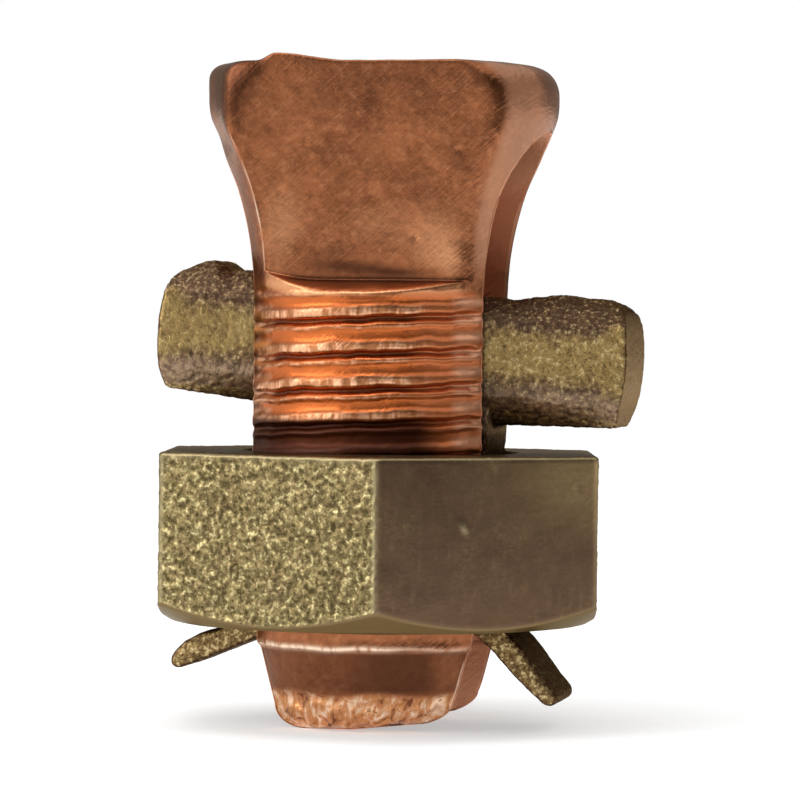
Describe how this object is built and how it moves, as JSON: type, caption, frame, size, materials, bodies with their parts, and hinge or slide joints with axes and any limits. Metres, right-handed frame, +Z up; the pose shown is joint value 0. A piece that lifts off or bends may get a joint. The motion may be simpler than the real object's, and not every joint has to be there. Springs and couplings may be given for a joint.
{
  "type": "split bolt connector",
  "caption": "Slotted copper bolt with a flattened bell head, a hexagon nut and a pressure bar that the nut pushes up the slot to squeeze wires against the round seat under the head.",
  "frame": {"origin": "on the bolt's axis, in the plane of the leg ends that it stands on", "axes": "+Z up the bolt towards its head, +X along the slot and the wires, -Y towards the viewer of the front flat"},
  "size_m": [0.0183, 0.0182, 0.0248],
  "materials": {
    "forged_copper": "satin, brown tarnish with fine scratches",
    "cast_bronze": "cast grain, rubbed smooth along the sides",
    "cast_brass": "coarse cast grain"
  },
  "bodies": {
    "bolt": {"split_bolt": "forged_copper"},
    "bar": {"pressure_bar": "cast_bronze"},
    "nut": {"hex_nut": "cast_brass"}
  },
  "joints": [
    {"name": "nut_travel", "type": "slide", "parent": "bolt", "child": "bar", "axis": [0, 0, 1], "range_m": [-0.004, 0.0042]},
    {"name": "nut_spin", "type": "hinge", "parent": "bar", "child": "nut", "pos_m": [0, 0, 0.00705], "axis": [0, 0, 1], "range_deg": [-1130, 1185]}
  ],
  "couplings": [
    {"joint": "nut_travel", "follows": "nut_spin", "m_per_rad": 0.00020213}
  ]
}
